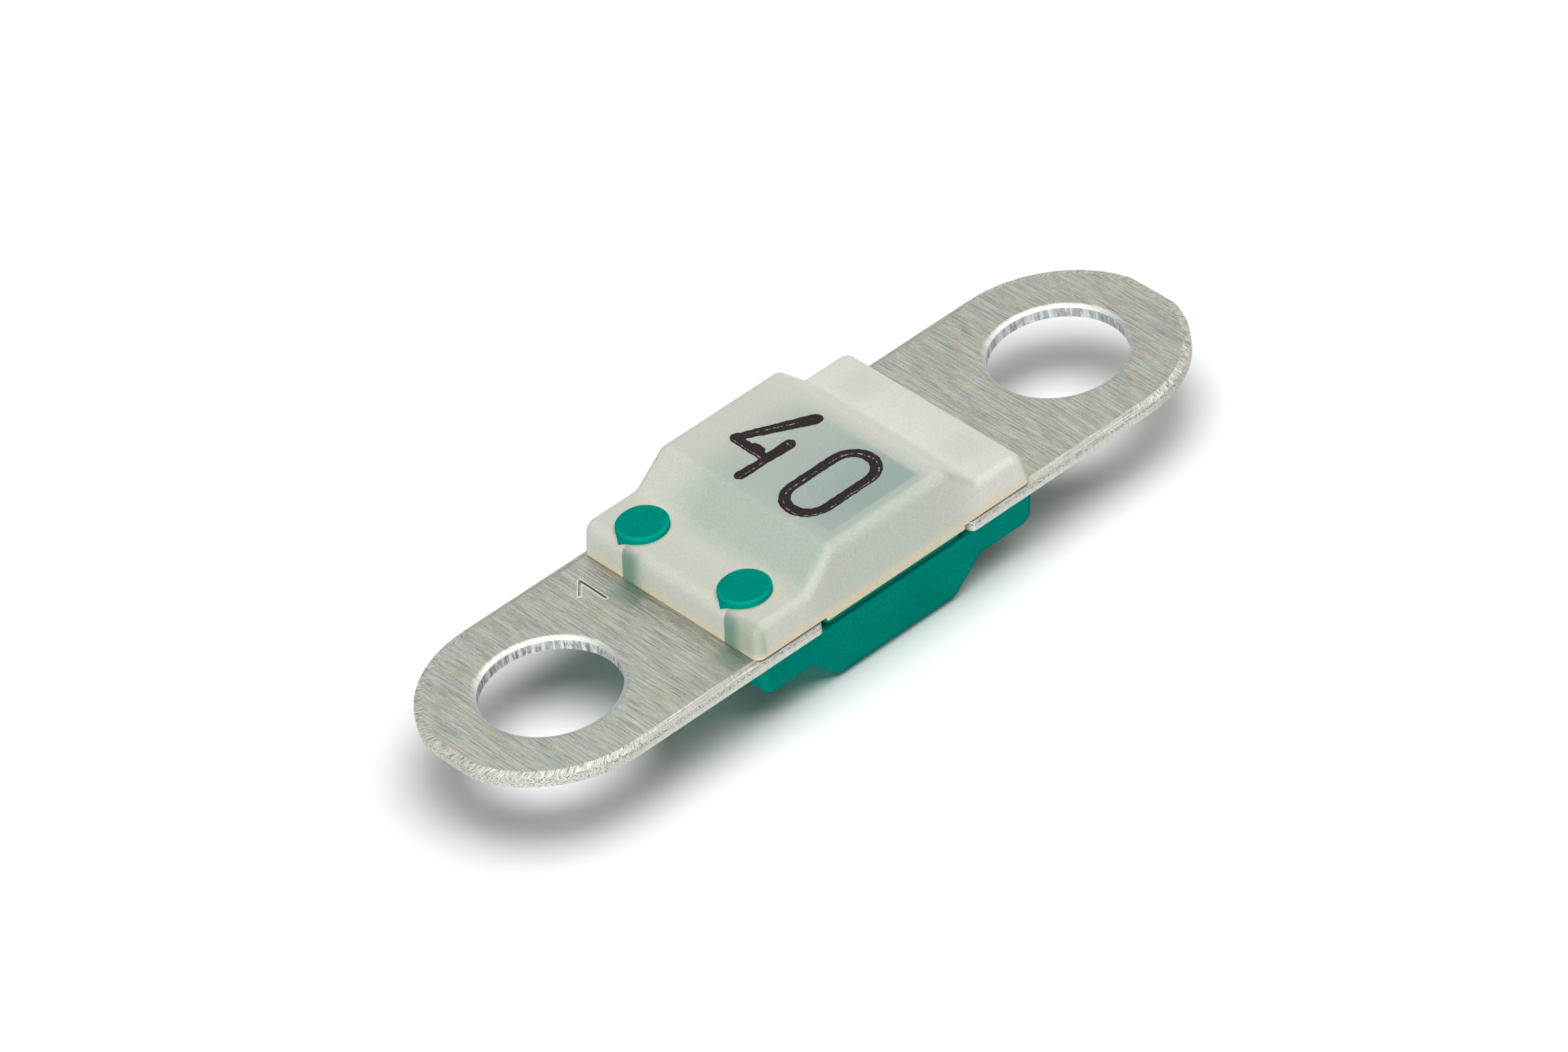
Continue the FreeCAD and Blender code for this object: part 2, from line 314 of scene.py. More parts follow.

# %% [markdown]
# ## Brushed zinc
#
# The strip's faces were brushed across before it was stamped, so their fine lines run along Y. A noise that
# is squeezed along X and drawn out along Y gives such lines. A second, broader one shifts the colour between
# warm and blue grey, as a thin zinc skin does, and a third leaves a few dark scratches. The lines also bend
# the surface a little, which draws out what it reflects. A lighter, cooler colour is painted round the rims
# of the bolt holes as their highlight. In front of the cover, a greenish patch is painted on the strip as
# its reflection of the green pins.

# %% Brushed zinc
ZINC_WARM, ZINC_COOL = screen(165, 163, 150), screen(155, 161, 156)
ZINC_DARK, RIM_HIGHLIGHT = screen(102, 99, 90), screen(186, 193, 198)
PIN_REFLECTION = screen(108, 132, 122)
FINE_LINES, BROAD_LINES, SCRATCH_LINES = (15.0, 0.5, 1.0), (4.2, 0.45, 1.0), (19.0, 0.6, 1.0)
ZINC_GRAIN = (18.0, 10.0, 9.0)
HIGHLIGHT_INNER, HIGHLIGHT_OUTER = HOLE_RADIUS + 0.08, HOLE_RADIUS + 0.24
PIN_REFLECTION_X, PIN_REFLECTION_OFFSET = (-8.9, -8.0), (-1.7, -0.9)
EVERY_LEVEL = (0.0, 9.0)


def brushed_zinc():
    material, tree, shader, place = new_material("brushed_zinc")
    fine = pattern(tree, place, FINE_LINES, detail=3.0, roughness=0.75)
    broad = pattern(tree, place, BROAD_LINES, detail=3.0, roughness=0.65)
    scratch = pattern(tree, place, SCRATCH_LINES, detail=2.0)
    grain = pattern(tree, place, ZINC_GRAIN, detail=1.0)
    patch = calc(tree, "MULTIPLY_ADD", fine, 0.5, broad)
    colour = tint(tree, fade(tree, patch, 0.72, 0.84), ZINC_WARM, ZINC_COOL)
    lines_light = fade(tree, fine, 0.34, 0.66, 0.8, 1.17)
    grain_light = fade(tree, grain, 0.3, 0.7, -0.08, 0.08)
    colour = shade(tree, colour, calc(tree, "ADD", lines_light, grain_light))
    colour = tint(tree, fade(tree, scratch, 0.57, 0.66, 0.0, 0.5), colour, ZINC_DARK)
    x, y, _ = split(tree, place)
    from_hole = flat_length(tree, calc(tree, "SUBTRACT", calc(tree, "ABSOLUTE", x), HOLE_X), y)
    # Painted highlight: a lighter, cooler colour round the rim of each bolt hole
    rim = fade(tree, from_hole, HIGHLIGHT_OUTER, HIGHLIGHT_INNER, 0.0, 0.3)
    colour = tint(tree, rim, colour, RIM_HIGHLIGHT)
    # Painted reflection: a greenish patch where the strip mirrors the pins in front of the cover
    for pin_y in (-PIN_Y, PIN_Y):
        reflection_y = [pin_y + offset for offset in PIN_REFLECTION_OFFSET]
        reflection_patch = soft_block(tree, place, PIN_REFLECTION_X, reflection_y, EVERY_LEVEL, (0.9, 0.8, 1.0))
        colour = tint(tree, times(tree, reflection_patch, 0.6), colour, PIN_REFLECTION)
    set_shader(tree, shader, Base_Color=colour, Metallic=1.0,
               Roughness=fade(tree, fine, 0.3, 0.7, 0.3, 0.4), Normal=relief(tree, fine, 0.02, 0.5))
    return material


BRUSHED_ZINC = brushed_zinc()
print("made", BRUSHED_ZINC.name, "with", len(BRUSHED_ZINC.node_tree.nodes), "nodes")

# %% [markdown]
# ## The strip's edges
#
# Stamping rolls the upper edge into a bright band. It has long lines on the straight sides, and tumbling
# left slanting strokes on the round ends. The band's colour is painted lighter on the round ends than on the
# straight sides, as painted light, and its lightest marks are painted glints. A pattern that turns with the
# outline can't be made from the place in space, so the strip gets its own UV map, which is unrolled along
# the edge: U is the run along the outline and V is the height, both in millimetres.

# %% Rolled band
BAND_END_LIT, BAND_SIDE, BAND_DARK = screen(170, 169, 158), screen(158, 157, 148), screen(108, 102, 92)
BAND_GLINT = screen(212, 212, 206)
BAND_SPREAD, STROKE_LEAN = 3.6, radians(28)
BAND_STROKES, BAND_LINES = (13.0, 2.0, 1.0), (0.4, 15.0, 1.0)
BAND_END = (HOLE_X - 1.5, HOLE_X + 0.8)


def edge_place(tree):
    """The run along the edge and the height, in millimetres, from the strip's UV map."""
    return add_node(tree, "ShaderNodeUVMap", uv_map="edge_run").outputs["UV"]


def rolled_band():
    material, tree, shader, place = new_material("rolled_band")
    inputs = {"Vector": edge_place(tree), "Scale": (1, BAND_SPREAD, 1)}
    spread = add_node(tree, "ShaderNodeMapping", inputs).outputs[0]
    inputs = {"Vector": spread, "Rotation": (0, 0, STROKE_LEAN)}
    leaning = add_node(tree, "ShaderNodeMapping", inputs).outputs[0]
    strokes = pattern(tree, leaning, BAND_STROKES, detail=3.0, roughness=0.75)
    lines = blend(tree, 0.3, pattern(tree, spread, BAND_LINES, detail=3.0, roughness=0.7), strokes)
    at_end = fade(tree, calc(tree, "ABSOLUTE", split(tree, place)["X"]), *BAND_END)
    mark = blend(tree, at_end, lines, strokes)
    # Painted light: the band is lighter on the round ends than on the straight sides
    colour = tint(tree, at_end, BAND_SIDE, BAND_END_LIT)
    colour = tint(tree, fade(tree, mark, 0.36, 0.48), BAND_DARK, colour)
    # Painted glints on the band's lightest marks
    colour = tint(tree, fade(tree, mark, 0.54, 0.61, 0.0, 0.8), colour, BAND_GLINT)
    set_shader(tree, shader, Base_Color=colour, Metallic=0.6, Roughness=0.5,
               Normal=relief(tree, mark, 0.03, 0.5))
    return material


ROLLED_BAND = rolled_band()
print("made", ROLLED_BAND.name)

# %% [markdown]
# The sides show how the sheet broke. Below, the punch sheared it cleanly and left upright marks,
# and above, the metal tore and is dark and speckled. The zones meet on a wavy line, so the height
# is shifted by a slow noise before it is faded. On the round ends the torn zone is the full height.

# %% Sheared sides
SHEAR_LIGHT, SHEAR_GREY, SHEAR_DARK = screen(218, 219, 210), screen(150, 150, 142), screen(92, 84, 72)
TORN_MARKS, UPRIGHT_MARKS, SLOW_WAVES = (10.0, 13.0, 1.0), (5.0, 1.2, 1.0), (0.5, 0.5, 1.0)
TORN_LEVEL = (STRIP_LOW.z + 0.36, STRIP_LOW.z + 0.48)
TORN_END = (HOLE_X - 1.0, HOLE_X + 1.5)
WAVE_HEIGHT = 0.25


def sheared_side():
    material, tree, shader, place = new_material("sheared_side")
    run = edge_place(tree)
    torn = pattern(tree, run, TORN_MARKS, detail=3.0, roughness=0.75)
    upright_marks = pattern(tree, run, UPRIGHT_MARKS, detail=3.0, roughness=0.65)
    waves = times(tree, pattern(tree, run, SLOW_WAVES, detail=2.0), WAVE_HEIGHT)
    upper = fade(tree, calc(tree, "ADD", split(tree, run)["Y"], waves), *TORN_LEVEL)
    at_end = fade(tree, calc(tree, "ABSOLUTE", split(tree, place)["X"]), *TORN_END, 0.0, 0.8)
    upper = calc(tree, "MAXIMUM", upper, at_end)
    speck = times(tree, fade(tree, torn, 0.5, 0.58), upper)
    colour = tint(tree, fade(tree, upright_marks, 0.36, 0.6, 0.3, 0.0), SHEAR_LIGHT, SHEAR_GREY)
    colour = tint(tree, times(tree, speck, 0.85), colour, SHEAR_DARK)
    bumps = calc(tree, "ADD", times(tree, torn, upper), times(tree, upright_marks, 0.5))
    set_shader(tree, shader, Base_Color=colour, Metallic=0.3, Roughness=0.45,
               Normal=relief(tree, bumps, 0.04, 0.7))
    return material


SHEARED_SIDE = sheared_side()
print("made", SHEARED_SIDE.name)

# %% [markdown]
# The punch slid through the bolt holes and left them smoother, with soft upright marks. At the
# lower edge the metal tore and browned, more in the hole at -X than in the other. The finish is
# the same recipe as that of the sides, with the torn zone turned over.

# %% Bolt hole walls
WALL_DARK, WALL_LIGHT, WALL_BROWN = screen(176, 180, 182), screen(228, 233, 238), screen(128, 104, 82)
WALL_MARKS, WALL_SPOTS = (5.0, 0.5, 1.0), (6.0, 1.6, 1.0)
BROWN_LEVEL = (STRIP_LOW.z + 0.5, STRIP_LOW.z + 0.25)


def punched_wall():
    material, tree, shader, place = new_material("punched_wall")
    run = edge_place(tree)
    marks = pattern(tree, run, WALL_MARKS, detail=3.0, roughness=0.6)
    spots = pattern(tree, run, WALL_SPOTS, detail=4.0, roughness=0.75)
    low = fade(tree, split(tree, run)["Y"], *BROWN_LEVEL)
    colour = tint(tree, fade(tree, marks, 0.42, 0.58), WALL_DARK, WALL_LIGHT)
    amount = fade(tree, split(tree, place)["X"], -1.0, 1.0, 0.75, 0.4)
    brown = times(tree, fade(tree, spots, 0.48, 0.58), amount, low)
    colour = tint(tree, brown, colour, WALL_BROWN)
    bumps = calc(tree, "ADD", marks, times(tree, spots, low))
    set_shader(tree, shader, Base_Color=colour, Metallic=0.5, Roughness=0.38,
               Normal=relief(tree, bumps, 0.03, 0.6))
    return material


PUNCHED_WALL = punched_wall()
print("made", PUNCHED_WALL.name)

# %% [markdown]
# ## A dressed copy of a solid
#
# A solid arrives as loose triangles, which shade as flat facets. Its own mesh must stay as it is,
# so a copy is welded at its shared corners and shaded smooth. Long thin triangles would still
# shade unevenly, so each corner's normal is worked out here: a large flat keeps its own, and a
# round takes those of the flats that it joins, each with the weight of its area.

# %% Dressing helpers
SAME_POINT = 0.0005 * MM
SAME_PLANE = radians(0.2)
LARGE_FLAT = 0.8 * MM ** 2


def dressed_copy(node, name, materials):
    """A welded copy of a solid with its materials, and its bmesh to work on."""
    shape = bmesh.new()
    shape.from_mesh(frame["nodes"][node].data)
    bmesh.ops.remove_doubles(shape, verts=shape.verts, dist=SAME_POINT)
    bmesh.ops.dissolve_degenerate(shape, edges=shape.edges, dist=SAME_POINT)
    piece = add_object(name, bpy.data.meshes.new(name))
    for material in materials:
        piece.data.materials.append(material)
    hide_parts(node)
    return piece, shape


def flat_regions(shape):
    """Joins faces that lie in one plane; gives each face the area of its whole flat region."""
    area = {}
    for start in shape.faces:
        if start in area:
            continue
        region, waiting = {start}, [start]
        while waiting:
            for edge in waiting.pop().edges:
                for face in edge.link_faces:
                    if face not in region and face.normal.angle(start.normal, 0) < SAME_PLANE:
                        region.add(face)
                        waiting.append(face)
        total = sum(face.calc_area() for face in region)
        area.update(dict.fromkeys(region, total))
    return area


def even_normals(shape, sharp_angle):
    """A normal for each face corner; an edge stays sharp past the angle and between finishes."""
    area = flat_regions(shape)
    normals = []
    for face in shape.faces:
        for vert in face.verts:
            if area[face] > LARGE_FLAT:
                normals.append(face.normal.copy())
                continue
            total = Vector()
            for other in vert.link_faces:
                close = face.normal.angle(other.normal, 0) < sharp_angle
                if close and other.material_index == face.material_index:
                    total += other.normal * area[other]
            normals.append(total.normalized() if total.length > 0 else face.normal.copy())
    return normals


def finish_shading(piece, shape, sharp_angle):
    """Writes the bmesh back with even normals, and counts the faces of each finish."""
    shape.normal_update()
    for face in shape.faces:
        face.smooth = True
    normals = even_normals(shape, sharp_angle)
    shape.to_mesh(piece.data)
    shape.free()
    piece.data.normals_split_custom_set(normals)
    worn_by = [face.material_index for face in piece.data.polygons]
    print(piece.name, {material.name: worn_by.count(at) for at, material in enumerate(piece.data.materials)})


print("a flat is large from", round(LARGE_FLAT / MM ** 2, 1), "square millimetres on")

# %% [markdown]
# ## The zinc strip
#
# Each face of the strip gets one of four finishes. Its direction says which: flat faces are
# brushed, faces that lean a little are the rolled band, and upright faces were sheared, those of
# the bolt holes by a punch. The UV map is worked out from each corner's place on the outline, and
# a small bevel turns the rims of the bolt holes softly into the top.

# %% Strip faces and their unrolled map
FLAT, LEANING = 0.995, 0.3
WALL_REACH, RIM_REACH, RIM_SOFT = 0.4, 0.3, 0.09
LEVEL_NEAR = 0.001 * MM
BRUSHED, BAND, SHEARED, PUNCHED = range(4)


def in_bolt_hole(point):
    """True for a point on the wall or rim of a bolt hole."""
    return hypot(abs(point.x) - HOLE_X, point.y) < HOLE_RADIUS + WALL_REACH


def strip_finish(face):
    """Which finish a face of the strip has."""
    rise = abs(face.normal.z)
    if rise > FLAT:
        return BRUSHED
    if in_bolt_hole(face.calc_center_median() / MM):
        return PUNCHED if rise < LEANING else BRUSHED
    return SHEARED if rise < LEANING else BAND


def edge_run(face, point):
    """How far along the outline a corner lies, in millimetres. The face says on which stretch."""
    centre = face.calc_center_median() / MM
    side = 1 if centre.x > 0 else -1
    if in_bolt_hole(centre) or abs(centre.x) > HOLE_X:
        radius = HOLE_RADIUS if in_bolt_hole(centre) else END_RADIUS
        turn = atan2(point.y, side * (point.x - side * HOLE_X))
        return side * (HOLE_X + turn * radius)
    return point.x


def soften_hole_rims(shape):
    """Turns the rim of each bolt hole softly into the top face."""
    top = STRIP_HIGH.z * MM

    def on_rim(vert):
        away = hypot(abs(vert.co.x) - HOLE_X * MM, vert.co.y)
        return abs(vert.co.z - top) < LEVEL_NEAR and away < (HOLE_RADIUS + RIM_REACH) * MM

    rim = [edge for edge in shape.edges if all(on_rim(vert) for vert in edge.verts)]
    bmesh.ops.bevel(shape, geom=rim, offset=RIM_SOFT * MM, affect="EDGES", segments=3, profile=0.5,
                    material=-1)
    print("softened", len(rim), "edges of the bolt holes' rims")


def unroll_strip(shape):
    """Sorts the faces by finish and writes the edge_run UV map."""
    uv = shape.loops.layers.uv.new("edge_run")
    for face in shape.faces:
        face.material_index = strip_finish(face)
        for loop in face.loops:
            point = loop.vert.co / MM
            loop[uv].uv = (edge_run(face, point), point.z)


print("the round end of each tab is", round(radians(180) * END_RADIUS, 1), "mm long on the map")

# %% [markdown]
# A number "1" is stamped into the near tab. The punch pressed a groove into the metal and pushed
# a small lip up beside it. Each stroke of the punch is a bar with tapered sides: first a flat pad
# for the lip is joined to the strip, and then the bar is cut out of both.

# %% Stamped number
STAMP_STROKES = [((-9.47, 4.5), (-9.49, 2.72), 0.18), ((-9.52, 4.45), (-10.14, 3.74), 0.2)]
STAMP_DEPTH, LIP_HEIGHT, LIP_WIDTH, LIP_ROUND = 0.09, 0.02, 0.03, 0.6
BAR_REACH, GROOVE_TAPER = 0.2, 0.45


def stroke_bar(shape, start, end, width, low, high, taper):
    """A straight bar between two points, narrower at the bottom by the taper."""
    run = Vector(end) - Vector(start)
    made = bmesh.ops.create_cube(shape, size=1.0)["verts"]
    for vert in made:
        narrow = taper if vert.co.z < 0 else 1.0
        level = low if vert.co.z < 0 else high
        vert.co = Vector((vert.co.x * (run.length + width * narrow), vert.co.y * width * narrow, level))
    turn = Matrix.Rotation(atan2(run.y, run.x), 4, "Z")
    middle = (Vector(start) + Vector(end)) / 2
    bmesh.ops.transform(shape, matrix=Matrix.Translation((middle.x, middle.y, 0)) @ turn, verts=made)
    bmesh.ops.scale(shape, vec=(MM, MM, MM), verts=made)


def object_from(name, shape):
    """An object whose mesh is that of a bmesh, which isn't needed any more."""
    mesh = bpy.data.meshes.new(name)
    shape.to_mesh(mesh)
    shape.free()
    return add_object(name, mesh)


def stamp_bars(name, grow, low, high, taper):
    """A tool for each stroke of the number. Bars that grow are the pads of the lips."""
    tools = []
    for number, (start, end, width) in enumerate(STAMP_STROKES):
        shape = bmesh.new()
        stroke_bar(shape, start, end, width + grow, low, high, taper)
        if grow:
            bmesh.ops.bevel(shape, geom=shape.edges[:], offset=LIP_HEIGHT * MM * LIP_ROUND, affect="EDGES",
                            segments=2, profile=0.5, material=-1)
        for face in shape.faces:
            face.material_index = SHEARED if grow else BRUSHED
        tools.append(object_from(f"{name}_{number}", shape))
    return tools


def apply_modifiers(piece):
    """Replaces the piece's mesh with what its modifiers make of it."""
    bpy.context.view_layer.update()
    shaped = piece.evaluated_get(bpy.context.evaluated_depsgraph_get())
    piece.data = bpy.data.meshes.new_from_object(shaped)
    piece.modifiers.clear()


def stamp_number(piece):
    """Raises the lips and cuts the grooves."""
    top = STRIP_HIGH.z
    pads = stamp_bars("lip", 2 * LIP_WIDTH, top - BAR_REACH, top + LIP_HEIGHT, 1.0)
    grooves = stamp_bars("groove", 0.0, top - STAMP_DEPTH, top + BAR_REACH, GROOVE_TAPER)
    before = len(piece.data.polygons)
    for operation, tools in (("UNION", pads), ("DIFFERENCE", grooves)):
        for tool in tools:
            cut = piece.modifiers.new(operation, "BOOLEAN")
            cut.operation, cut.object, cut.solver = operation, tool, "EXACT"
    apply_modifiers(piece)
    for tool in pads + grooves:
        bpy.data.objects.remove(tool)
    print("the stamped number adds", len(piece.data.polygons) - before, "faces")


# %% [markdown]
# The strip is now made in the order of the real work: rims, finishes and map on the bmesh, then
# the stamp on the mesh, and the normals last, because both of the others change the corners.

# %% Make the strip
STRIP_SHARP = radians(32)


def make_strip():
    finishes = [BRUSHED_ZINC, ROLLED_BAND, SHEARED_SIDE, PUNCHED_WALL]
    piece, shape = dressed_copy("fuse_strip", "zinc_strip_dressed", finishes)
    soften_hole_rims(shape)
    unroll_strip(shape)
    shape.to_mesh(piece.data)
    shape.free()
    stamp_number(piece)
    shape = bmesh.new()
    shape.from_mesh(piece.data)
    finish_shading(piece, shape, STRIP_SHARP)
    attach(piece, "root")


make_strip()

# %% [markdown]
# ## The milky cover
#
# The cover is moulded in unfilled plastic, white like thin milk. Light goes in and comes out a little
# further on, which subsurface scattering shows. What lies below tints it: the dark space round the fusible
# link shows as a cool grey window of painted shade in the dome, the dome over it and its near wall get
# painted shade too, and the green pins show through the end wall. To trace that light through the plastic
# would be slow and full of noise, so the tints and the painted shade are laid on by place with the soft
# blocks, and stay there from every side.

# %% Tints from below
MILK_SHADE, WINDOW_SHADE = screen(186, 199, 188), screen(158, 178, 173)
PIN_TINT, FAINT_PIN = screen(72, 134, 116), screen(196, 213, 203)
CAVITY_X, CAVITY_Y = (-2.25, 2.55), (-4.75, 0.4)
SHADE_X, SHADE_Y, SHADE_LOW = (-4.4, 2.2), (-6.0, 1.5), 4.8
NEAR_OUTSIDE, NEAR_INSIDE = -5.7, -5.1
# How far each tint of a pin fades out along Y, and its amount
PIN_LAYERS = [(1.5, 0.5), (0.9, 0.55)]


def cavity_tints(tree, colour, place):
    """Painted shade: that of the hollow dome, the dark window over the link, and the near wall."""
    x, y, _ = split(tree, place)
    top = COVER_HIGH.z
    shaded = soft_block(tree, place, SHADE_X, SHADE_Y, (SHADE_LOW, top), (1.4, 3.0, 1.0))
    shaded = times(tree, shaded, fade(tree, y, NEAR_OUTSIDE, NEAR_INSIDE, 0.0, 0.9))
    colour = tint(tree, shaded, colour, MILK_SHADE)
    # Painted shade: the dark hollow round the link, seen through the dome
    window = soft_block(tree, place, CAVITY_X, CAVITY_Y, (top - 0.8, top), (0.3, 2.6, 0.6))
    window = times(tree, window, fade(tree, y, -5.0, -4.8))
    deep = times(tree, fade(tree, y, 0.8, -3.8, 0.12, 0.8), fade(tree, x, -2.6, 0.5, 0.6, 1.0))
    colour = tint(tree, times(tree, window, deep), colour, WINDOW_SHADE)
    middle = fade(tree, calc(tree, "ABSOLUTE", x), 5.6, 3.4)
    wall = times(tree, fade(tree, y, NEAR_INSIDE, NEAR_OUTSIDE), middle, 0.45)
    return tint(tree, wall, colour, MILK_SHADE)


def pin_tints(tree, colour, place):
    """The green pins seen through the end wall at -X, and the faint holes of those at +X."""
    y = split(tree, place)["Y"]
    level = STRIP_HIGH.z
    wall_x = (COVER_LOW.x - 0.2, COVER_LOW.x + 0.6)
    for pin_y in (-PIN_Y, PIN_Y):
        sharp = fade(tree, y, pin_y - 0.22, pin_y - 0.29)
        for wide, amount in PIN_LAYERS:
            seen = soft_block(tree, place, wall_x, (pin_y - 0.7, pin_y), (level - 0.1, level + 1.3),
                              (0.3, wide, 0.4))
            colour = tint(tree, times(tree, seen, sharp, amount), colour, PIN_TINT)
        faint = soft_block(tree, place, (PIN_X - 0.5, PIN_X + 0.5), (pin_y - 0.5, pin_y + 0.5),
                           (level + 1.2, level + 2.0), (0.9, 0.9, 0.3))
        colour = tint(tree, times(tree, faint, 0.35), colour, FAINT_PIN)
    return colour


print("the window over the link is", round(CAVITY_X[1] - CAVITY_X[0], 1), "mm long")

# %% [markdown]
# The plastic is painted lighter towards +X, its thin lower edge looks like cream, the low near corner at -X
# is painted darker, and the heat of the staking yellowed a halo round each green head. The moulded grain
# gives the surface its bumps and a light speckle.

# %% Milky plastic
MILK, MILK_LIGHTER, CREAM = screen(216, 218, 207), screen(234, 233, 222), screen(236, 220, 184)
CORNER_DARKENING, HALO_TINT = screen(176, 186, 168), screen(228, 216, 192)
CORNER_X, CORNER_Y, CORNER_Z = (-8.4, -7.6), (-6.0, -5.2), (4.2, 5.3)
MILK_GRAINS, MILK_GRAIN_DEPTH = 13.0, 0.022
SCATTER_COLOUR, SCATTER_REACH = (1.0, 0.95, 0.8), 0.2 * MM


def milky_plastic():
    material, tree, shader, place = new_material("milky_plastic")
    grain = add_grain(tree, place, MILK_GRAINS, MILK_GRAIN_DEPTH)
    x, _, z = split(tree, place)
    level = STRIP_HIGH.z
    # The plastic is painted lighter towards +X
    colour = tint(tree, fade(tree, x, 1.5, 6.0, 0.0, 0.8), MILK, MILK_LIGHTER)
    colour = cavity_tints(tree, colour, place)
    colour = tint(tree, fade(tree, z, level + 0.6, level + 0.05, 0.0, 0.7), colour, CREAM)
    colour = pin_tints(tree, colour, place)
    # The low near corner at -X is painted darker
    corner = soft_block(tree, place, CORNER_X, CORNER_Y, CORNER_Z, (0.3, 1.1, 0.4))
    colour = tint(tree, times(tree, corner, 0.75), colour, CORNER_DARKENING)
    for pin_y in (-PIN_Y, PIN_Y):
        halo = soft_block(tree, place, (-PIN_X, -PIN_X + 0.3), (pin_y - 0.5, pin_y + 0.5),
                          (level + 1.2, level + 2.4), (1.9, 1.5, 0.3))
        colour = tint(tree, times(tree, halo, 0.7), colour, HALO_TINT)
    colour = shade(tree, colour, fade(tree, grain["Speckle"], 0.3, 0.7, 0.92, 1.05))
    set_shader(tree, shader, Base_Color=colour, Roughness=0.5, Specular_IOR_Level=0.18,
               Subsurface_Weight=0.3, Subsurface_Radius=SCATTER_COLOUR, Subsurface_Scale=SCATTER_REACH,
               Normal=grain["Normal"])
    return material


MILKY_PLASTIC = milky_plastic()
print("made", MILKY_PLASTIC.name, "with", len(MILKY_PLASTIC.node_tree.nodes), "nodes")

# %% [markdown]
# The ink will lie on the dome, but the fuse must not grow past its real height. So the dressed
# dome is made lower than the solid one by half the ink's thickness, too little to be seen.

# %% Make the cover
INK_THICK = 0.02
PRINT_SINK = INK_THICK / 2
HOUSING_SHARP = radians(38)


def make_cover():
    piece, shape = dressed_copy("upper_cover", "milky_cover", [MILKY_PLASTIC])
    for vert in shape.verts:
        if vert.co.z > (COVER_HIGH.z - PRINT_SINK) * MM:
            vert.co.z -= PRINT_SINK * MM
    finish_shading(piece, shape, HOUSING_SHARP)
    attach(piece, "root")


make_cover()

# %% [markdown]
# ## The green base
#
# The base is the same moulding turned over, in a filled green plastic. Filled plastic is not clear, so it
# needs no scattering: it is satin, with a fine sparkle of grain. The staked heads are its pins pressed flat,
# smoother and lighter, with a painted highlight along their rim.

# %% Green plastic
GREEN, GREEN_LIGHT, GREEN_DARK = screen(0, 136, 122), screen(0, 170, 150), screen(0, 100, 90)
GREEN_RIM_HIGHLIGHT, GREEN_HEAD = screen(0, 184, 160), screen(0, 176, 154)
GREEN_GRAINS, GREEN_GRAIN_DEPTH = 17.0, 0.008
CLOUDS = (0.5, 0.5, 0.5)
HEAD_LEVEL = (BASE_HIGH.z - 0.5, BASE_HIGH.z - 0.3)
RIM_LEVEL = (BASE_HIGH.z - 0.14, BASE_HIGH.z - 0.08)
RIM_RADIUS = (HEAD_RADIUS - 0.14, HEAD_RADIUS - 0.08)


def green_plastic():
    material, tree, shader, place = new_material("green_plastic")
    grain = add_grain(tree, place, GREEN_GRAINS, GREEN_GRAIN_DEPTH)
    cloud = pattern(tree, place, CLOUDS, detail=2.0)
    colour = tint(tree, fade(tree, grain["Speckle"], 0.32, 0.7), GREEN_DARK, GREEN_LIGHT)
    colour = tint(tree, 0.6, colour, GREEN)
    colour = tint(tree, fade(tree, cloud, 0.35, 0.65, 0.0, 0.2), colour, GREEN_DARK)
    x, y, height = split(tree, place)
    across = calc(tree, "SUBTRACT", calc(tree, "ABSOLUTE", y), PIN_Y)
    from_pin = flat_length(tree, calc(tree, "ADD", x, PIN_X), across)
    # Painted highlight along the rim of each staked head
    rim_highlight = times(tree, fade(tree, from_pin, *RIM_RADIUS), fade(tree, height, *RIM_LEVEL), 0.35)
    head_colour = tint(tree, fade(tree, grain["Speckle"], 0.35, 0.65), GREEN, GREEN_HEAD)
    colour = tint(tree, fade(tree, height, *HEAD_LEVEL, 0.0, 0.5), colour, head_colour)
    colour = tint(tree, rim_highlight, colour, GREEN_RIM_HIGHLIGHT)
    set_shader(tree, shader, Base_Color=colour, Roughness=0.4, Specular_IOR_Level=0.0,
               Normal=grain["Normal"])
    return material


GREEN_PLASTIC = green_plastic()


def make_base():
    piece, shape = dressed_copy("lower_base", "green_base", [GREEN_PLASTIC])
    finish_shading(piece, shape, HOUSING_SHARP)
    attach(piece, "root")


make_base()

# %% [markdown]
# Staking is rough work. Where each head hangs over the rounded end of the shelf, the hot plastic
# ran into a small pointed spill. It is the hull of a few points under the head's rim and its tip.

# %% Spills under the staked heads
SPILL_TURNS = [radians(angle) for angle in (146, 160, 174, 188, 202, 216)]
SPILL_RADIUS, SPILL_TIP = HEAD_RADIUS - 0.02, Vector((-1.38, 0.12))
SPILL_LEVELS = (BASE_HIGH.z - 0.56, BASE_HIGH.z - 0.22)
TIP_LEVELS = (BASE_HIGH.z - 0.56, BASE_HIGH.z - 0.42)


def make_spill(name, pin_y):
    shape = bmesh.new()
    around = [Vector((SPILL_RADIUS * cos(turn), SPILL_RADIUS * sin(turn), level))
              for turn in SPILL_TURNS for level in SPILL_LEVELS]
    tip = [Vector((SPILL_TIP.x, SPILL_TIP.y, level)) for level in TIP_LEVELS]
    for point in around + tip:
        shape.verts.new((point + Vector((-PIN_X, pin_y, 0))) * MM)
    bmesh.ops.convex_hull(shape, input=shape.verts)
    bmesh.ops.recalc_face_normals(shape, faces=shape.faces)
    piece = add_object(name, bpy.data.meshes.new(name))
    piece.data.materials.append(GREEN_PLASTIC)
    finish_shading(piece, shape, HOUSING_SHARP)
    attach(piece, "root")


make_spill("spill_near", -PIN_Y)
make_spill("spill_far", PIN_Y)

